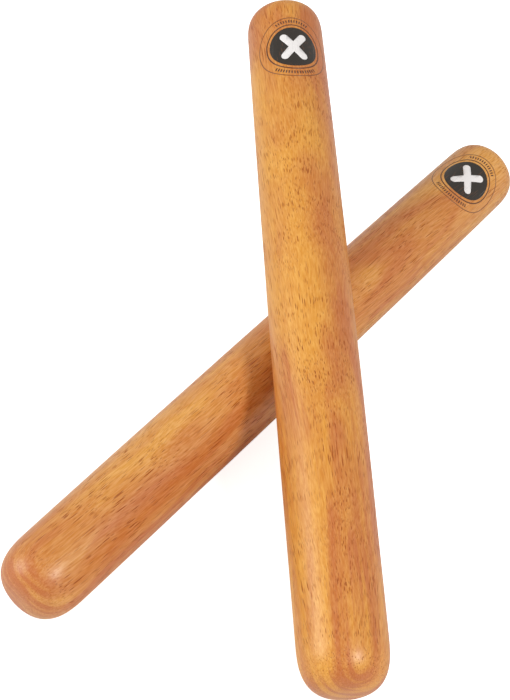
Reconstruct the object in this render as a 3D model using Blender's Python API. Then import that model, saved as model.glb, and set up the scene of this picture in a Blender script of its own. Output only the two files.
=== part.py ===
"""A pair of wooden claves at rest, one leaning across the other, each with a round printed badge.

Metres, +Z up. The lower clave lies along the ground. The upper clave crosses it at the middle and dips until
its plain end meets the ground too, so its badge end stands in the air. A clave's own X axis runs along its
centre line to its plain end, and its own Z axis comes out through the middle of its top.
"""

import math

import bmesh
import bpy
from mathutils import Matrix, Vector

# The sticks. Diameters are at the middle, and the barrel thins evenly from there towards both ends.
STICK_LENGTH = 0.230
UPPER_DIAMETER = 0.0254
LOWER_DIAMETER = 0.0249
END_TAPER = 0.038
BADGE_END_DOME = 0.0115
BADGE_END_FULLNESS = 4.0
PLAIN_END_DOME = 0.0147
PLAIN_END_FULLNESS = 2.9

# How the pair lies. A heading is the compass direction of the plain end, anticlockwise from +X. A crossing is
# the distance of the crossing from the middle of that stick, towards its plain end.
LOWER_HEADING = math.radians(-129.0)
UPPER_HEADING = math.radians(-86.35)
LOWER_CROSSING = -0.0016
UPPER_CROSSING = -0.0010
STEEPEST_DIP = math.radians(30)
TOUCHING_GAP = 0.0003

# The badges. A turn is the angle of the badge round its stick, from the top towards the stick's own +Y.
UPPER_BADGE_FROM_TIP = 0.0235
LOWER_BADGE_FROM_TIP = 0.0212
UPPER_BADGE_TURN = math.radians(6)
LOWER_BADGE_TURN = math.radians(20)
DISC_DIAMETER = 0.0159
INNER_RING_DIAMETER = 0.0180
OUTER_RING_DIAMETER = 0.0239
RING_WIDTH = 0.00045
EMBLEM_STICK_LENGTH = 0.0122
EMBLEM_STICK_WIDTH = 0.0026
EMBLEM_STICK_SPLAY = math.radians(38)
PRINT_THICKNESS = 0.00015
PRINT_ON_WOOD = TOUCHING_GAP
PRINT_ON_PRINT = TOUCHING_GAP + PRINT_THICKNESS + TOUCHING_GAP

# Fineness of the meshes.
STICK_SIDES = 48
BARREL_STEPS = 14
DOME_STEPS = 8
RING_SIDES = 40
EMBLEM_END_STEPS = 6
BEND_SPACING = 0.0020
WELD_DISTANCE = 0.000001
DIP_HALVINGS = 40

WOOD_COLOUR = (0.56, 0.24, 0.075)
BADGE_BLACK = (0.022, 0.020, 0.018)
BADGE_WHITE = (0.86, 0.83, 0.82)
LINE_BROWN = (0.16, 0.055, 0.018)


def clear_scene():
    for leftover in list(bpy.data.objects):
        bpy.data.objects.remove(leftover, do_unlink=True)


def make_material(name, colour, roughness, metallic=0.0):
    material = bpy.data.materials.new(name)
    material.use_nodes = True
    surface = material.node_tree.nodes["Principled BSDF"]
    surface.inputs["Base Color"].default_value = (*colour, 1.0)
    surface.inputs["Roughness"].default_value = roughness
    surface.inputs["Metallic"].default_value = metallic
    return material


def add_object(name, bm, material, parent):
    """Turns a finished bmesh into a smooth-shaded object under its parent."""
    mesh = bpy.data.meshes.new(name)
    bm.to_mesh(mesh)
    bm.free()
    mesh.materials.append(material)
    mesh.shade_smooth()
    mesh.set_sharp_from_angle(angle=math.radians(40))
    thing = bpy.data.objects.new(name, mesh)
    bpy.context.scene.collection.objects.link(thing)
    thing.parent = parent
    return thing


def barrel_radius(x, belly_radius):
    """Radius of the swelling barrel at the distance x from the middle of the stick."""
    return belly_radius * (1 - END_TAPER * (2 * x / STICK_LENGTH) ** 2)


def dome(shoulder_x, depth, fullness, belly_radius):
    """(x, radius) from a dome's shoulder to its tip: a superellipse, squarer as its fullness grows.

    A negative depth points the dome towards -X.
    """
    points = []
    for step in range(1, DOME_STEPS + 1):
        angle = math.pi / 2 * step / DOME_STEPS
        x = shoulder_x + depth * math.sin(angle) ** (2 / fullness)
        share = 0.0 if step == DOME_STEPS else math.cos(angle) ** (2 / fullness)
        points.append((x, share * barrel_radius(x, belly_radius)))
    return points


def stick_profile(belly_radius):
    """(x, radius) from the tip of the badge end to the tip of the plain end."""
    badge_shoulder = BADGE_END_DOME - STICK_LENGTH / 2
    plain_shoulder = STICK_LENGTH / 2 - PLAIN_END_DOME
    badge_dome = dome(badge_shoulder, -BADGE_END_DOME, BADGE_END_FULLNESS, belly_radius)
    plain_dome = dome(plain_shoulder, PLAIN_END_DOME, PLAIN_END_FULLNESS, belly_radius)
    barrel = []
    for step in range(BARREL_STEPS + 1):
        x = badge_shoulder + (plain_shoulder - badge_shoulder) * step / BARREL_STEPS
        barrel.append((x, barrel_radius(x, belly_radius)))
    return badge_dome[::-1] + barrel + plain_dome


def make_stick(name, belly_radius, material, parent):
    """A turned stick. Its flats touch the true outline, and one flat faces straight down."""
    half_side = math.pi / STICK_SIDES
    to_corner = 1 / math.cos(half_side)
    bm = bmesh.new()
    verts = [bm.verts.new((x, 0, radius * to_corner)) for x, radius in stick_profile(belly_radius)]
    edges = [bm.edges.new(pair) for pair in zip(verts, verts[1:])]
    bmesh.ops.rotate(bm, verts=verts, cent=(0, 0, 0), matrix=Matrix.Rotation(half_side, 3, "X"))
    bmesh.ops.spin(
        bm, geom=verts + edges, cent=(0, 0, 0), axis=(1, 0, 0), angle=2 * math.pi, steps=STICK_SIDES
    )
    bmesh.ops.remove_doubles(bm, verts=bm.verts, dist=WELD_DISTANCE)
    bmesh.ops.recalc_face_normals(bm, faces=bm.faces)
    return add_object(name, bm, material, parent)


def circle_outline(radius, sides):
    points = []
    for side in range(sides):
        angle = 2 * math.pi * side / sides
        points.append(Vector((radius * math.cos(angle), radius * math.sin(angle), 0)))
    return points


def crossed_sticks_outline():
    """The emblem: two round-ended sticks that cross in the middle of the badge."""
    half_width = EMBLEM_STICK_WIDTH / 2
    reach = EMBLEM_STICK_LENGTH / 2 - half_width
    arms = [EMBLEM_STICK_SPLAY, math.pi - EMBLEM_STICK_SPLAY]
    arms += [arm + math.pi for arm in arms]
    points = []
    for arm, next_arm in zip(arms, arms[1:] + [arms[0] + 2 * math.pi]):
        end = Vector((math.cos(arm), math.sin(arm), 0)) * reach
        for step in range(EMBLEM_END_STEPS + 1):
            angle = arm + math.pi * (step / EMBLEM_END_STEPS - 0.5)
            points.append(end + Vector((math.cos(angle), math.sin(angle), 0)) * half_width)
        notch = (arm + next_arm) / 2
        notch_reach = half_width / math.sin((next_arm - arm) / 2)
        points.append(Vector((math.cos(notch), math.sin(notch), 0)) * notch_reach)
    return points


def flat_shape(outline):
    """A flat bmesh inside one outline, cut into strips along X so that it can bend round a stick."""
    bm = bmesh.new()
    face = bm.faces.new([bm.verts.new(point) for point in outline])
    face.normal_update()
    bmesh.ops.triangulate(bm, faces=[face])
    half_height = max(point.y for point in outline)
    strips = 2 * math.ceil(half_height / BEND_SPACING) + 1
    for cut in range(1, strips):
        level = half_height * (2 * cut / strips - 1)
        everything = bm.verts[:] + bm.edges[:] + bm.faces[:]
        bmesh.ops.bisect_plane(
            bm, geom=everything, dist=WELD_DISTANCE, plane_co=(0, level, 0), plane_no=(0, 1, 0)
        )
    return bm


def flat_ring(diameter):
    """A flat ring, RING_WIDTH wide, on the given middle diameter."""
    bm = bmesh.new()
    loops = []
    for radius in (diameter / 2 - RING_WIDTH / 2, diameter / 2 + RING_WIDTH / 2):
        loops.append([bm.verts.new(point) for point in circle_outline(radius, RING_SIDES)])
    inner, outer = loops
    for side in range(RING_SIDES):
        following = (side + 1) % RING_SIDES
        bm.faces.new((inner[side], outer[side], outer[following], inner[following]))
    return bm


def bend_round_stick(bm, from_tip, turn, belly_radius, lift):
    """Lays a flat shape on the stick: its X runs along the stick, and its Y goes round it."""
    for vert in bm.verts:
        x = from_tip - STICK_LENGTH / 2 + vert.co.x
        radius = barrel_radius(x, belly_radius)
        angle = turn + vert.co.y / radius
        height = radius + lift
        vert.co = Vector((x, height * math.sin(angle), height * math.cos(angle)))


def make_badge(prefix, stick, from_tip, turn, belly_radius, materials):
    """The printed layers of one badge, each a thin film that follows the round of the stick."""
    layers = [
        ("disc", flat_shape(circle_outline(DISC_DIAMETER / 2, RING_SIDES)), PRINT_ON_WOOD, "black"),
        ("emblem", flat_shape(crossed_sticks_outline()), PRINT_ON_PRINT, "white"),
        ("inner_ring", flat_ring(INNER_RING_DIAMETER), PRINT_ON_WOOD, "brown"),
        ("outer_ring", flat_ring(OUTER_RING_DIAMETER), PRINT_ON_WOOD, "brown"),
    ]
    for layer_name, bm, lift, colour in layers:
        bend_round_stick(bm, from_tip, turn, belly_radius, lift)
        layer = add_object(f"{prefix}_badge_{layer_name}", bm, materials[colour], stick)
        film = layer.modifiers.new("film", "SOLIDIFY")
        film.thickness = PRINT_THICKNESS
        film.offset = 1


def axis_direction(heading, dip):
    """Unit vector along a stick, towards its plain end."""
    level = math.cos(dip)
    return Vector((level * math.cos(heading), level * math.sin(heading), -math.sin(dip)))


def upper_centre(dip):
    """Where the middle of the upper stick is when it dips by this angle and lies on the lower one."""
    lower_axis = axis_direction(LOWER_HEADING, 0)
    upper_axis = axis_direction(UPPER_HEADING, dip)
    between_axes = lower_axis.cross(upper_axis).normalized()
    spacing = LOWER_DIAMETER / 2 + UPPER_DIAMETER / 2 + TOUCHING_GAP
    crossing = Vector((0, 0, LOWER_DIAMETER / 2)) + lower_axis * LOWER_CROSSING
    return crossing + between_axes * spacing - upper_axis * UPPER_CROSSING


def upper_clearance(dip):
    """Height of the upper stick's lowest point above the ground."""
    centre = upper_centre(dip)
    profile = stick_profile(UPPER_DIAMETER / 2)
    return min(centre.z - x * math.sin(dip) - radius * math.cos(dip) for x, radius in profile)


def resting_dip():
    """The dip that brings the upper stick's plain end down to the ground, found by halving."""
    shallow = 0.0
    steep = STEEPEST_DIP
    for _ in range(DIP_HALVINGS):
        middle = (shallow + steep) / 2
        if upper_clearance(middle) > 0:
            shallow = middle
        else:
            steep = middle
    return shallow


def put_origin_under_the_middle(root):
    """Moves the pair so that the origin is on the ground under the middle of its box."""
    bpy.context.view_layer.update()
    graph = bpy.context.evaluated_depsgraph_get()
    corners = []
    for thing in root.children_recursive:
        shaped = thing.evaluated_get(graph)
        corners += [shaped.matrix_world @ vert.co for vert in shaped.data.vertices]
    low = Vector([min(corner[axis] for corner in corners) for axis in range(3)])
    high = Vector([max(corner[axis] for corner in corners) for axis in range(3)])
    root.location = Vector((-(low.x + high.x) / 2, -(low.y + high.y) / 2, -low.z))


def build():
    clear_scene()
    wood = make_material("satin lacquered hardwood", WOOD_COLOUR, 0.35)
    print_materials = {
        "black": make_material("black badge print", BADGE_BLACK, 0.4),
        "white": make_material("white badge print", BADGE_WHITE, 0.4),
        "brown": make_material("brown line print", LINE_BROWN, 0.5),
    }
    pair = bpy.data.objects.new("pair", None)
    bpy.context.scene.collection.objects.link(pair)

    lower_radius = LOWER_DIAMETER / 2
    lower = make_stick("lower_stick", lower_radius, wood, pair)
    lower.location = (0, 0, lower_radius)
    lower.rotation_euler = (0, 0, LOWER_HEADING)
    make_badge("lower", lower, LOWER_BADGE_FROM_TIP, LOWER_BADGE_TURN, lower_radius, print_materials)

    upper_radius = UPPER_DIAMETER / 2
    dip = resting_dip()
    upper = make_stick("upper_stick", upper_radius, wood, pair)
    upper.location = upper_centre(dip)
    upper.rotation_euler = (0, dip, UPPER_HEADING)
    make_badge("upper", upper, UPPER_BADGE_FROM_TIP, UPPER_BADGE_TURN, upper_radius, print_materials)

    put_origin_under_the_middle(pair)


build()
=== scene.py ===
"""The finished look of a pair of wooden claves.

Each clave is a turned hardwood stick under satin lacquer, with a round badge printed near one end.
Everything is built in a stick's own frame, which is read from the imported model: X runs along the centre
line to the plain end, and Z comes out through the middle of the badge. Lengths are in metres, and the
wood's figure is laid out in millimetres.
"""

import math
from collections import namedtuple

import bmesh
import bpy
import numpy as np
from mathutils import Matrix, Vector, noise


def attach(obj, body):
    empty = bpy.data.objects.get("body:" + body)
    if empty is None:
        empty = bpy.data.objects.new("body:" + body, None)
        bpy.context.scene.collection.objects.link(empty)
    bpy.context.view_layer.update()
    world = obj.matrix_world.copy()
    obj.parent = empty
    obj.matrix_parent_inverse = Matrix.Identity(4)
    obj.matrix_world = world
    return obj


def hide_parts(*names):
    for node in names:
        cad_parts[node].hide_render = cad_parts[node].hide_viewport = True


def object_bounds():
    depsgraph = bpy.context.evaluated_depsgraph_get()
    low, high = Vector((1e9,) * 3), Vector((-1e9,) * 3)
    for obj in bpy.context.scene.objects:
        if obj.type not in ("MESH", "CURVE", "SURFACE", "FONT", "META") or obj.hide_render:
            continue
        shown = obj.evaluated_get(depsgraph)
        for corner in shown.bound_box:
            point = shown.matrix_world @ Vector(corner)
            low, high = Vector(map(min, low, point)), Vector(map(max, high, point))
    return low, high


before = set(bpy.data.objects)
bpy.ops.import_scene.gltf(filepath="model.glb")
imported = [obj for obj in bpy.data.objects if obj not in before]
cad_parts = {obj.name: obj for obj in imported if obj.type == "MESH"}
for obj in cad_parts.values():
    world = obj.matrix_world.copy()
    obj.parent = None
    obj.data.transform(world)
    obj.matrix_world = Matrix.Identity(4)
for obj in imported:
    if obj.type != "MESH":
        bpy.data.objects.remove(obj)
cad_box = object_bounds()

# The turned shape. Length and thickness come from the frame.
CAD_SIDES = 48
POINT_DIGITS = 7
END_TAPER = 0.038
BADGE_END_DOME = 0.0115
BADGE_END_FULLNESS = 4.0
PLAIN_END_DOME = 0.0147
PLAIN_END_FULLNESS = 2.9
STICK_SIDES = 224
BARREL_STEPS = 230
DOME_STEPS = 44
SANDING_DEPTH = 0.00007
SANDING_LENGTH = 0.021
SANDING_WIDTH = 0.009
SANDING_SHIFT = 1000.0

# The printed badge. Places and diameters come from the frame.
FILM_THICKNESS = 0.00003
FILM_ON_WOOD = 0.00001
FILM_ON_PRINT = 0.00005
FILM_GRID = 0.00035
CUT_TOLERANCE = 1e-7
INNER_LINE_WIDTH = 0.00040
OUTER_LINE_WIDTH = 0.00028
EMBLEM_REACH = 0.0061
EMBLEM_WIDTH = 0.0026
EMBLEM_SPLAY = math.radians(38)
EMBLEM_END_STEPS = 12
DASH_LENGTH = 0.0011
DASH_WIDTH = 0.00042
DASH_SPACING = 0.00088
LOWER_DASH_ARC = math.radians(72)
UPPER_DASH_ARC = math.radians(56)
ROUND_STEPS = 96

# Colours, linear.
YELLOW_GOLD = (0.81, 0.380, 0.048)
DUSTY_GOLD = (0.785, 0.386, 0.082)
RED_WOOD = (0.56, 0.167, 0.034)
PORE_BROWN = (0.30, 0.050, 0.001)
BADGE_BLACK = (0.020, 0.013, 0.007)
BADGE_WHITE = (0.88, 0.84, 0.82)
LINE_BROWN = (0.12, 0.031, 0.004)
FAINT_BROWN = (0.24, 0.075, 0.015)
FLOOR_WHITE = (0.82, 0.82, 0.82)
PURE_WHITE = (1.0, 1.0, 1.0)

# Wood figure. Sizes are in mm: along the log, across it, and out from its pith. A figure is soft noise
# between 0 and 1, and the wood gets redder by the share in the last column as the noise goes from start
# to end.
MM_PER_METRE = 1000.0
NOISE_MIDDLE = 0.5
Figure = namedtuple("Figure", "size detail roughness start end redder")
ZONES = Figure((50, 15, 7), 2.0, 0.5, 0.38, 0.62, 0.50)
LAYERS = Figure((52, 22, 2.2), 2.0, 0.5, 0.42, 0.60, 0.26)
RIBBONS = Figure((11, 0.9, 0.9), 3.0, 0.6, 0.32, 0.68, 0.12)
FIBRES = Figure((6, 0.36, 0.36), 2.0, 0.6, 0.25, 0.75, 0.24)
WAVE_SIZE = (46, 19, 19)
WAVE_DETAIL = 1.5
WAVE_DRIFT = (0.0, 5.0, 6.0)

# Tints that multiply the wood's colour, from its palest fibres to its darkest.
PALE_FIBRE = (1.06, 1.13, 1.60)
DARK_FIBRE = (0.93, 0.83, 0.35)

# End grain starts and is full where the surface faces this squarely along the stick. It makes growth layers
# redder, pale ones less and red ones more, and leaves END_PORES of the pores' darkness.
END_GRAIN_START = 0.35
END_GRAIN_FULL = 0.75
PALE_END_LAYER = 0.10
RED_END_LAYER = 0.38
END_PORES = 0.45

# Open pores. Each cell of the wood, of this length and width in mm, holds one pore or none. Share is how
# many cells hold one, and a part of those, LARGE_PORES, are of full size.
Pores = namedtuple("Pores", "length width share darkness")
LONG_PORES = Pores(12.0, 0.46, 0.85, 0.86)
SHORT_PORES = Pores(5.0, 0.34, 0.95, 0.70)
SHORT_PORES_OFFSET = (7.0, 3.0, 5.0)
LARGE_PORES = 1 / 3
PORE_REACH = 0.34
REACH_MARGIN = 0.0001
PORE_SOFTNESS = 0.55
PORE_CROWDS = Figure((30, 6, 6), 1.0, 0.5, 0.32, 0.62, 0.0)
SPARSE_PORES = 0.45

# What differs between the two sticks' wood. Slants are drift across and outwards for each unit along the
# stick, and the last field is how much redness grows for each metre across it. That redness is partly the
# wood's own hue and partly painted shade: it makes the side of each stick away from the side light darker
# and redder.
Wood = namedtuple("Wood", "gold offset fibre_slant layer_slant pith_depth redness redder_across")
UPPER_WOOD = Wood(
    gold=YELLOW_GOLD,
    offset=(1649.0, 32.0, 51.0),
    fibre_slant=(-0.02, -0.14),
    layer_slant=(-0.02, -0.07),
    pith_depth=60.0,
    redness=0.05,
    redder_across=8.0,
)
LOWER_WOOD = Wood(
    gold=DUSTY_GOLD,
    offset=(1970.0, 2.0, 108.0),
    fibre_slant=(0.04, -0.06),
    layer_slant=(0.01, 0.03),
    pith_depth=70.0,
    redness=-0.04,
    redder_across=8.0,
)

# Surface finish. Depths are in metres.
SMOOTH_WOOD = 0.44
ROUGH_WOOD = 0.56
PORE_ROUGHNESS = 0.2
FIBRE_HEIGHT = 0.10
WOOD_RELIEF = 0.00006
LACQUER_RELIEF = 0.00003
SPECKLES = Figure((0.5, 0.22, 0.22), 2.0, 0.6, 0.60, 0.85, 0.0)
SPECKLE_WEAR = 0.12
PORE_WEAR = 0.12
SMOOTH_INK_START = 0.2
ROUGH_INK_START = 0.8
SMOOTH_INK = 0.34
ROUGH_INK = 0.46
INK_RELIEF = 0.00002
SPECULAR_UNDER_LACQUER = 0.1
LACQUER_WEIGHT = 0.8
LACQUER_IN_PORES = 0.25
LACQUER_ROUGHNESS = 0.38
LACQUER_IOR = 1.6

# Camera, lights and floor. Directions point to the light from the ground under the lower stick's middle.
SENSOR_SIZE = 36.0
LENS = 76.8
CAMERA_CLIP_START = 0.01
CAMERA_FROM_GROUND = Vector((-0.0089, -0.3137, 0.3493))
AIM_FROM_GROUND = Vector((-0.0089, 0.00105, 0.0137))
Light = namedtuple("Light", "name direction size power")
LIGHTS = (
    Light("side_light", Vector((-0.84, -0.10, 0.52)), 0.58, 4.2),
    Light("front_light", Vector((0.50, -0.50, 0.71)), 0.16, 3.9),
)
LIGHT_DISTANCE = 1.0
STUDIO_BRIGHTNESS = 0.56
FLOOR_RADIUS = 12.0
FLOOR_ROUGHNESS = 0.8
FLOOR_GLOW = 0.80


class Stick:
    """One clave's own frame and sizes, read from its CAD nodes."""

    def __init__(self, name):
        self.name = name
        corners = node_points(f"{name}_stick")
        disc = node_points(f"{name}_badge_disc")
        middle = corners.mean(axis=0)
        axis = np.linalg.eigh(np.cov((corners - middle).T))[1][:, -1]
        if (disc.mean(axis=0) - middle) @ axis > 0:
            axis = -axis
        along = (corners - middle) @ axis
        centre = middle + axis * (along.min() + along.max()) / 2
        self.length = along.max() - along.min()

        outward = disc.mean(axis=0) - centre
        outward -= axis * (outward @ axis)
        outward /= np.linalg.norm(outward)
        self.set_place(axis, outward, centre)
        turns = [math.atan2(point.y, point.z) for point in self.own_points(disc)]
        turn = Matrix.Rotation(-(min(turns) + max(turns)) / 2, 4, "X")
        self.place = self.place @ turn

        corner_reach = max(math.hypot(point.y, point.z) for point in self.own_points(corners))
        self.belly = corner_reach * math.cos(math.pi / CAD_SIDES)
        self.badge_x, self.disc_diameter = self.middle_and_length("badge_disc")
        self.inner_ring_diameter = self.middle_and_length("badge_inner_ring")[1]
        self.outer_ring_diameter = self.middle_and_length("badge_outer_ring")[1]

    def set_place(self, axis, outward, centre):
        across = np.cross(outward, axis)
        self.place = Matrix.Identity(4)
        for column, direction in enumerate((axis, across, outward, centre)):
            for row in range(3):
                self.place[row][column] = direction[row]

    def own_points(self, points):
        """The points in the stick's own frame."""
        to_own = self.place.inverted()
        return [to_own @ Vector(point) for point in points]

    def middle_and_length(self, part):
        """Where one of this stick's CAD nodes lies along the stick, and how far it reaches."""
        along = [point.x for point in self.own_points(node_points(f"{self.name}_{part}"))]
        return (min(along) + max(along)) / 2, max(along) - min(along)

    def barrel_radius(self, x):
        return self.belly * (1 - END_TAPER * (2 * x / self.length) ** 2)

    def sanding(self, x, angle):
        """How far hand sanding cut the surface below the turned shape, in metres.

        The noise is shifted by the badge's place, which differs a little between the sticks, so that
        each has unevenness of its own.
        """
        around = self.belly / SANDING_WIDTH
        spot = Vector((x / SANDING_LENGTH, around * math.sin(angle), around * math.cos(angle)))
        spot.x += self.badge_x * SANDING_SHIFT
        return SANDING_DEPTH * (1 + noise.noise(spot)) / 2

    def surface(self, x, angle, lift=0.0):
        """A point on the barrel, lifted off the wood, at this angle from the badge's middle."""
        radius = self.barrel_radius(x) - self.sanding(x, angle) + lift
        return Vector((x, radius * math.sin(angle), radius * math.cos(angle)))


def node_points(node):
    """The different corner points of a CAD node, one row each, rounded so that equal points match."""
    points = np.array([vert.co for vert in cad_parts[node].data.vertices])
    return np.unique(np.round(points, POINT_DIGITS), axis=0)


# Meshes


def add_piece(name, bm, material, stick):
    """Turns a bmesh in a stick's own frame into a smooth-shaded piece that rides on that stick's body."""
    mesh = bpy.data.meshes.new(name)
    bm.to_mesh(mesh)
    bm.free()
    mesh.materials.append(material)
    mesh.shade_smooth()
    piece = bpy.data.objects.new(name, mesh)
    bpy.context.scene.collection.objects.link(piece)
    piece.matrix_world = stick.place
    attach(piece, f"{stick.name}_clave")
    return piece


def stick_stations(stick):
    """(x, share of the barrel's radius) from the tip of the badge end to the tip of the plain end."""
    half = stick.length / 2
    badge_shoulder = BADGE_END_DOME - half
    plain_shoulder = half - PLAIN_END_DOME
    stations = []
    for step in range(DOME_STEPS):
        angle = math.pi / 2 * (1 - step / DOME_STEPS)
        stations.append(dome_station(badge_shoulder, -BADGE_END_DOME, BADGE_END_FULLNESS, angle))
    for step in range(BARREL_STEPS + 1):
        x = badge_shoulder + (plain_shoulder - badge_shoulder) * step / BARREL_STEPS
        stations.append((x, 1.0))
    for step in range(1, DOME_STEPS + 1):
        angle = math.pi / 2 * step / DOME_STEPS
        stations.append(dome_station(plain_shoulder, PLAIN_END_DOME, PLAIN_END_FULLNESS, angle))
    return stations


def dome_station(shoulder_x, depth, fullness, angle):
    """One station of a rounded end, a superellipse that is squarer as its fullness grows."""
    share = max(math.cos(angle), 0.0) ** (2 / fullness)
    return shoulder_x + depth * math.sin(angle) ** (2 / fullness), share


def make_stick(stick, material):
    bm = bmesh.new()
    rings = []
    stations = stick_stations(stick)
    for x, share in stations[1:-1]:
        ring = []
        for side in range(STICK_SIDES):
            angle = 2 * math.pi * side / STICK_SIDES
            point = stick.surface(x, angle)
            ring.append(bm.verts.new((x, point.y * share, point.z * share)))
        rings.append(ring)
    first_tip = bm.verts.new((stations[0][0], 0, 0))
    last_tip = bm.verts.new((stations[-1][0], 0, 0))
    for side in range(STICK_SIDES):
        following = (side + 1) % STICK_SIDES
        bm.faces.new((first_tip, rings[0][side], rings[0][following]))
        bm.faces.new((last_tip, rings[-1][following], rings[-1][side]))
        for ring, next_ring in zip(rings, rings[1:]):
            bm.faces.new((ring[side], next_ring[side], next_ring[following], ring[following]))
    bmesh.ops.recalc_face_normals(bm, faces=bm.faces)
    piece = add_piece(f"{stick.name}_turned_stick", bm, material, stick)
    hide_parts(f"{stick.name}_stick")


def circle_points(radius):
    points = []
    for step in range(ROUND_STEPS):
        angle = 2 * math.pi * step / ROUND_STEPS
        points.append(Vector((radius * math.cos(angle), radius * math.sin(angle), 0)))
    return points


def flat_shape(outline):
    """A flat bmesh inside an outline, cut into a fine grid so that it can bend round the stick."""
    bm = bmesh.new()
    face = bm.faces.new([bm.verts.new(point) for point in outline])
    face.normal_update()
    bmesh.ops.triangulate(bm, faces=[face])
    cut_across(bm, outline, Vector((0, 1, 0)))
    return bm


def cut_across(bm, outline, direction):
    """Cuts a flat bmesh into strips, FILM_GRID wide or less, square to a direction."""
    reaches = [point.dot(direction) for point in outline]
    strips = math.ceil((max(reaches) - min(reaches)) / FILM_GRID)
    for cut in range(1, strips):
        level = min(reaches) + (max(reaches) - min(reaches)) * cut / strips
        bmesh.ops.bisect_plane(
            bm, geom=bm.verts[:] + bm.edges[:] + bm.faces[:], dist=CUT_TOLERANCE,
            plane_co=direction * level, plane_no=direction,
        )


def flat_ring(outer_diameter, width):
    bm = bmesh.new()
    loops = []
    for radius in (outer_diameter / 2 - width, outer_diameter / 2):
        loops.append([bm.verts.new(point) for point in circle_points(radius)])
    inner, outer = loops
    for step in range(ROUND_STEPS):
        following = (step + 1) % ROUND_STEPS
        bm.faces.new((inner[step], outer[step], outer[following], inner[following]))
    return bm


def crossed_sticks_outline():
    """The emblem: two round-ended sticks that cross in the middle of the badge."""
    half_width = EMBLEM_WIDTH / 2
    arms = [EMBLEM_SPLAY, math.pi - EMBLEM_SPLAY]
    arms += [arm + math.pi for arm in arms]
    points = []
    for arm, next_arm in zip(arms, arms[1:] + [arms[0] + 2 * math.pi]):
        end = Vector((math.cos(arm), math.sin(arm), 0)) * (EMBLEM_REACH - half_width)
        for step in range(EMBLEM_END_STEPS + 1):
            angle = arm + math.pi * (step / EMBLEM_END_STEPS - 0.5)
            points.append(end + Vector((math.cos(angle), math.sin(angle), 0)) * half_width)
        notch = (arm + next_arm) / 2
        notch_reach = half_width / math.sin((next_arm - arm) / 2)
        points.append(Vector((math.cos(notch), math.sin(notch), 0)) * notch_reach)
    return points


def flat_dashes(middle_radius):
    """Two arcs of short radial dashes, one above the disc and one below it."""
    bm = bmesh.new()
    for arc_middle, arc in ((0, LOWER_DASH_ARC), (math.pi, UPPER_DASH_ARC)):
        gaps = round(arc * middle_radius / DASH_SPACING)
        for dash in range(gaps + 1):
            angle = arc_middle + arc * (dash / gaps - 0.5)
            outward = Vector((math.cos(angle), math.sin(angle), 0))
            sideways = Vector((-outward.y, outward.x, 0)) * DASH_WIDTH / 2
            near = outward * (middle_radius - DASH_LENGTH / 2)
            far = outward * (middle_radius + DASH_LENGTH / 2)
            corners = (near - sideways, far - sideways, far + sideways, near + sideways)
            bm.faces.new([bm.verts.new(corner) for corner in corners])
    return bm


def lay_on_stick(bm, stick, lift):
    """Bends a flat shape round the stick at the badge, and makes it as thick as a film of ink."""
    for vert in bm.verts:
        x = stick.badge_x + vert.co.x
        vert.co = stick.surface(x, vert.co.y / stick.barrel_radius(x), lift)
    bmesh.ops.recalc_face_normals(bm, faces=bm.faces)
    bm.normal_update()
    outward = sum(face.normal.dot(face.calc_center_median()) for face in bm.faces)
    thickness = -FILM_THICKNESS if outward > 0 else FILM_THICKNESS
    bmesh.ops.solidify(bm, geom=bm.faces[:], thickness=thickness)
    bmesh.ops.recalc_face_normals(bm, faces=bm.faces)


def make_badge(stick, black, white, brown, faint):
    inner_edge = stick.inner_ring_diameter / 2
    outer_edge = stick.outer_ring_diameter / 2 - OUTER_LINE_WIDTH
    layers = [
        ("badge_disc", flat_shape(circle_points(stick.disc_diameter / 2)), FILM_ON_WOOD, black),
        ("badge_emblem", flat_shape(crossed_sticks_outline()), FILM_ON_PRINT, white),
        ("badge_inner_ring", flat_ring(stick.inner_ring_diameter, INNER_LINE_WIDTH), FILM_ON_WOOD, brown),
        ("badge_outer_ring", flat_ring(stick.outer_ring_diameter, OUTER_LINE_WIDTH), FILM_ON_WOOD, faint),
        ("badge_dashes", flat_dashes((inner_edge + outer_edge) / 2), FILM_ON_WOOD, brown),
    ]
    for part, bm, lift, material in layers:
        lay_on_stick(bm, stick, lift)
        piece = add_piece(f"{stick.name}_{part}_print", bm, material, stick)
        node = f"{stick.name}_{part}"
        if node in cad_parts:
            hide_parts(node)


# Materials


# Where Blender's Mix node has its colours, among sockets for other kinds of value.
MIX_SHARE = 0
MIX_FIRST = 6
MIX_SECOND = 7
MIX_RESULT = 2


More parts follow.
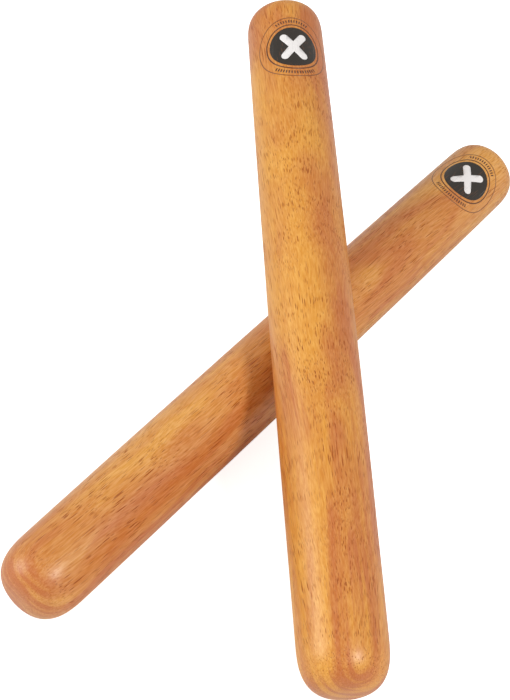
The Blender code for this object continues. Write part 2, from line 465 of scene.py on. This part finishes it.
class Shader:
    """A new material and the few kinds of node that the looks are made of."""

    def __init__(self, name):
        self.material = bpy.data.materials.new(name)
        self.material.use_nodes = True
        self.tree = self.material.node_tree
        self.surface = self.tree.nodes["Principled BSDF"]

    def connect(self, value, socket):
        """Links an output to a socket, or sets the socket to a plain value."""
        if isinstance(value, bpy.types.NodeSocket):
            self.tree.links.new(value, socket)
        else:
            socket.default_value = value

    def number(self, operation, *values, clamp=False):
        node = self.tree.nodes.new("ShaderNodeMath")
        node.operation = operation
        node.use_clamp = clamp
        for value, socket in zip(values, node.inputs):
            self.connect(value, socket)
        return node.outputs[0]

    def vector(self, operation, *values):
        node = self.tree.nodes.new("ShaderNodeVectorMath")
        node.operation = operation
        for value, socket in zip(values, node.inputs):
            self.connect(value, socket)
        return node.outputs["Vector"]

    def join(self, x, y, z):
        node = self.tree.nodes.new("ShaderNodeCombineXYZ")
        for value, socket in zip((x, y, z), node.inputs):
            self.connect(value, socket)
        return node.outputs[0]

    def split(self, vector):
        node = self.tree.nodes.new("ShaderNodeSeparateXYZ")
        self.connect(vector, node.inputs[0])
        return node.outputs

    def object_place(self):
        return self.tree.nodes.new("ShaderNodeTexCoord").outputs["Object"]

    def facing_along_x(self):
        """How squarely the smooth surface faces along the object's own X: 0 on the barrel, 1 at a tip."""
        normal = self.tree.nodes.new("ShaderNodeTexCoord").outputs["Normal"]
        return self.number("ABSOLUTE", self.split(normal)[0])

    def scaled(self, place, size):
        """The place in units of a size given along X, Y and Z."""
        return self.vector("DIVIDE", place, size)

    def cloud(self, place, size, detail=2.0, roughness=0.5):
        """Soft noise with features of this size: outputs Fac, and a Color of three such noises."""
        node = self.tree.nodes.new("ShaderNodeTexNoise")
        self.connect(self.scaled(place, size), node.inputs["Vector"])
        node.inputs["Scale"].default_value = 1.0
        node.inputs["Detail"].default_value = detail
        node.inputs["Roughness"].default_value = roughness
        return node.outputs

    def figure(self, place, kind):
        """Noise of one kind of figure."""
        return self.cloud(place, kind.size, kind.detail, kind.roughness)["Fac"]

    def cells(self, place, size):
        """Scattered points, about one to a cell of this size: outputs Distance and a Color of their own."""
        node = self.tree.nodes.new("ShaderNodeTexVoronoi")
        self.connect(self.scaled(place, size), node.inputs["Vector"])
        node.inputs["Scale"].default_value = 1.0
        return node.outputs

    def ease(self, value, start, end, low=0.0, high=1.0):
        """Smooth step of a number from low at start to high at end."""
        node = self.tree.nodes.new("ShaderNodeMapRange")
        node.interpolation_type = "SMOOTHSTEP"
        for setting, name in (
            (value, "Value"), (start, "From Min"), (end, "From Max"), (low, "To Min"), (high, "To Max"),
        ):
            self.connect(setting, node.inputs[name])
        return node.outputs["Result"]

    def blend(self, share, first, second, kind="MIX"):
        """Mixes two colours, given as sockets or as linear RGB."""
        node = self.tree.nodes.new("ShaderNodeMix")
        node.data_type = "RGBA"
        node.blend_type = kind
        self.connect(share, node.inputs[MIX_SHARE])
        for colour, socket in ((first, MIX_FIRST), (second, MIX_SECOND)):
            opaque = colour if isinstance(colour, bpy.types.NodeSocket) else (*colour, 1.0)
            self.connect(opaque, node.inputs[socket])
        return node.outputs[MIX_RESULT]

    def relief(self, height, depth):
        """A surface normal from a height between 0 and 1, depth metres deep."""
        node = self.tree.nodes.new("ShaderNodeBump")
        node.inputs["Distance"].default_value = depth
        self.connect(height, node.inputs["Height"])
        return node.outputs["Normal"]


def log_place(shader, wood):
    """The place inside the log in mm, with slow wavy growth: X along the log, Z out from its pith."""
    place = shader.vector("MULTIPLY", shader.object_place(), (MM_PER_METRE,) * 3)
    place = shader.vector("ADD", place, wood.offset)
    wave = shader.cloud(place, WAVE_SIZE, WAVE_DETAIL)["Color"]
    wave = shader.vector("SUBTRACT", wave, (NOISE_MIDDLE,) * 3)
    return shader.vector("ADD", place, shader.vector("MULTIPLY", wave, WAVE_DRIFT))


def slanted(shader, place, slant):
    """The place sheared so that what ran along X also drifts across, by so much Y and Z to a unit of X."""
    x, y, z = shader.split(place)
    return shader.join(
        x, shader.number("MULTIPLY_ADD", x, slant[0], y), shader.number("MULTIPLY_ADD", x, slant[1], z)
    )


def growth_place(shader, log, wood):
    """The place among the growth layers, with Z turned into the distance from the log's pith."""
    x, y, z = shader.split(slanted(shader, log, wood.layer_slant))
    deep = shader.number("ADD", z, wood.pith_depth)
    square = shader.number("ADD", shader.number("MULTIPLY", y, y), shader.number("MULTIPLY", deep, deep))
    return shader.join(x, y, shader.number("SQRT", square))


def find_pores(shader, grain, kind):
    """Open vessels, cut along or across: 1 in a pore, 0 between them."""
    found = shader.cells(grain, (kind.length, kind.width, kind.width))
    chance = shader.split(found["Color"])[0]
    reach = shader.ease(chance, 1 - kind.share, 1 - kind.share * LARGE_PORES, 0.0, PORE_REACH)
    inside = shader.number("DIVIDE", found["Distance"], shader.number("ADD", reach, REACH_MARGIN))
    return shader.ease(inside, 1.0, PORE_SOFTNESS)


def wood_redness_and_shade(shader, wood, figures, end_grain):
    """How red the wood is, from 0 to 1, with painted shade across the stick. Growth layers show up more
    where the ends cut across them.
    """
    across = shader.split(shader.object_place())[1]
    # Redness across the stick is partly painted shade: the side away from the side light turns darker and
    # redder.
    redness = shader.number("MULTIPLY_ADD", across, wood.redder_across, wood.redness)
    for kind, noise_value in figures.items():
        share = shader.ease(noise_value, kind.start, kind.end)
        redness = shader.number("MULTIPLY_ADD", share, kind.redder, redness)
    end_layers = shader.ease(figures[LAYERS], LAYERS.start, LAYERS.end, PALE_END_LAYER, RED_END_LAYER)
    return shader.number("MULTIPLY_ADD", end_grain, end_layers, redness, clamp=True)


def pore_darkening(shader, grain, end_grain):
    """How much darker pores make the wood: crowded here, sparse there, and fainter at the ends."""
    long_pores = find_pores(shader, grain, LONG_PORES)
    short_pores = find_pores(shader, shader.vector("ADD", grain, SHORT_PORES_OFFSET), SHORT_PORES)
    darkening = shader.number(
        "MAXIMUM", shader.number("MULTIPLY", long_pores, LONG_PORES.darkness),
        shader.number("MULTIPLY", short_pores, SHORT_PORES.darkness),
    )
    crowding = shader.figure(grain, PORE_CROWDS)
    crowding = shader.ease(crowding, PORE_CROWDS.start, PORE_CROWDS.end, SPARSE_PORES, 1.0)
    darkening = shader.number("MULTIPLY", darkening, crowding)
    return shader.number("MULTIPLY", darkening, shader.ease(end_grain, 0.0, 1.0, 1.0, END_PORES))


def make_wood(name, wood):
    shader = Shader(name)
    log = log_place(shader, wood)
    grain = slanted(shader, log, wood.fibre_slant)
    growth = growth_place(shader, log, wood)
    fibres = shader.figure(grain, FIBRES)
    figures = {
        ZONES: shader.figure(growth, ZONES),
        LAYERS: shader.figure(growth, LAYERS),
        RIBBONS: shader.figure(grain, RIBBONS),
        FIBRES: fibres,
    }
    end_grain = shader.ease(shader.facing_along_x(), END_GRAIN_START, END_GRAIN_FULL)
    darkening = pore_darkening(shader, grain, end_grain)

    colour = shader.blend(wood_redness_and_shade(shader, wood, figures, end_grain), wood.gold, RED_WOOD)
    shade = shader.blend(shader.ease(fibres, FIBRES.start, FIBRES.end), PALE_FIBRE, DARK_FIBRE)
    colour = shader.blend(1.0, colour, shade, "MULTIPLY")
    colour = shader.blend(darkening, colour, PORE_BROWN)
    shader.connect(colour, shader.surface.inputs["Base Color"])

    roughness = shader.ease(fibres, FIBRES.start, FIBRES.end, SMOOTH_WOOD, ROUGH_WOOD)
    roughness = shader.number("MULTIPLY_ADD", darkening, PORE_ROUGHNESS, roughness)
    shader.connect(roughness, shader.surface.inputs["Roughness"])
    height = shader.number("MULTIPLY_ADD", fibres, FIBRE_HEIGHT, shader.number("SUBTRACT", 1.0, darkening))
    shader.connect(shader.relief(height, WOOD_RELIEF), shader.surface.inputs["Normal"])
    shader.connect(shader.relief(height, LACQUER_RELIEF), shader.surface.inputs["Coat Normal"])
    set_lacquer(shader)
    lacquer = shader.ease(darkening, 0.0, 1.0, LACQUER_WEIGHT, LACQUER_IN_PORES)
    shader.connect(lacquer, shader.surface.inputs["Coat Weight"])
    return shader.material


def set_lacquer(shader):
    """The satin lacquer that lies over wood and print alike."""
    shader.surface.inputs["Specular IOR Level"].default_value = SPECULAR_UNDER_LACQUER
    shader.surface.inputs["Coat Weight"].default_value = LACQUER_WEIGHT
    shader.surface.inputs["Coat Roughness"].default_value = LACQUER_ROUGHNESS
    shader.surface.inputs["Coat IOR"].default_value = LACQUER_IOR


def make_print(name, colour, worn_colour, wood):
    """Ink on the wood, under the lacquer: a little uneven, with the pores showing faintly through."""
    shader = Shader(name)
    grain = slanted(shader, log_place(shader, wood), wood.fibre_slant)
    speckles = shader.figure(grain, SPECKLES)
    pore = find_pores(shader, grain, LONG_PORES)
    wear = shader.ease(speckles, SPECKLES.start, SPECKLES.end, 0.0, SPECKLE_WEAR)
    wear = shader.number("MAXIMUM", wear, shader.number("MULTIPLY", pore, PORE_WEAR))
    shader.connect(shader.blend(wear, colour, worn_colour), shader.surface.inputs["Base Color"])
    roughness = shader.ease(speckles, SMOOTH_INK_START, ROUGH_INK_START, SMOOTH_INK, ROUGH_INK)
    shader.connect(roughness, shader.surface.inputs["Roughness"])
    height = shader.number("SUBTRACT", speckles, pore)
    shader.connect(shader.relief(height, INK_RELIEF), shader.surface.inputs["Normal"])
    set_lacquer(shader)
    return shader.material


# Studio


def make_floor_material():
    """White with a glow that only the camera sees, so that it shows white without lighting the wood."""
    material = bpy.data.materials.new("studio_floor")
    material.use_nodes = True
    nodes = material.node_tree.nodes
    links = material.node_tree.links
    surface = nodes["Principled BSDF"]
    surface.inputs["Base Color"].default_value = (*FLOOR_WHITE, 1.0)
    surface.inputs["Roughness"].default_value = FLOOR_ROUGHNESS
    surface.inputs["Emission Color"].default_value = (*PURE_WHITE, 1.0)
    rays = nodes.new("ShaderNodeLightPath")
    glow = nodes.new("ShaderNodeMath")
    glow.operation = "MULTIPLY"
    glow.inputs[1].default_value = FLOOR_GLOW
    links.new(rays.outputs["Is Camera Ray"], glow.inputs[0])
    links.new(glow.outputs[0], surface.inputs["Emission Strength"])
    return material


def make_floor():
    bm = bmesh.new()
    bmesh.ops.create_circle(bm, cap_ends=True, segments=ROUND_STEPS, radius=FLOOR_RADIUS)
    mesh = bpy.data.meshes.new("studio_floor")
    bm.to_mesh(mesh)
    bm.free()
    mesh.materials.append(make_floor_material())
    floor = bpy.data.objects.new("studio_floor", mesh)
    floor.location = (0, 0, cad_box[0].z)
    bpy.context.scene.collection.objects.link(floor)


def add_area_light(light, target):
    data = bpy.data.lights.new(light.name, "AREA")
    data.shape = "DISK"
    data.size = light.size
    data.energy = light.power
    lamp = bpy.data.objects.new(light.name, data)
    lamp.location = target + light.direction.normalized() * LIGHT_DISTANCE
    lamp.rotation_euler = (-light.direction).to_track_quat("-Z", "Y").to_euler()
    bpy.context.scene.collection.objects.link(lamp)


def make_surroundings():
    world = bpy.data.worlds.new("white_studio")
    world.use_nodes = True
    background = world.node_tree.nodes["Background"]
    background.inputs["Color"].default_value = (*PURE_WHITE, 1.0)
    background.inputs["Strength"].default_value = STUDIO_BRIGHTNESS
    bpy.context.scene.world = world


def add_camera(ground):
    data = bpy.data.cameras.new("view_camera")
    data.sensor_width = SENSOR_SIZE
    data.lens = LENS
    data.clip_start = CAMERA_CLIP_START
    camera = bpy.data.objects.new("view_camera", data)
    camera.location = ground + CAMERA_FROM_GROUND
    aim = ground + AIM_FROM_GROUND
    camera.rotation_euler = (aim - camera.location).to_track_quat("-Z", "Y").to_euler()
    bpy.context.scene.collection.objects.link(camera)
    bpy.context.scene.camera = camera


def make_clave(name, wood):
    """One stick with its badge."""
    stick = Stick(name)
    make_stick(stick, make_wood(f"{name}_wood", wood))
    make_badge(
        stick,
        black=make_print(f"{name}_black_ink", BADGE_BLACK, RED_WOOD, wood),
        white=make_print(f"{name}_white_ink", BADGE_WHITE, BADGE_BLACK, wood),
        brown=make_print(f"{name}_brown_ink", LINE_BROWN, RED_WOOD, wood),
        faint=make_print(f"{name}_faint_ink", FAINT_BROWN, RED_WOOD, wood),
    )
    return stick


def build():
    make_clave("upper", UPPER_WOOD)
    lower = make_clave("lower", LOWER_WOOD)

    ground = lower.place.translation.copy()
    ground.z = cad_box[0].z
    make_floor()
    make_surroundings()
    for light in LIGHTS:
        add_area_light(light, ground)
    add_camera(ground)
    bpy.context.scene.view_settings.view_transform = "Standard"


build()
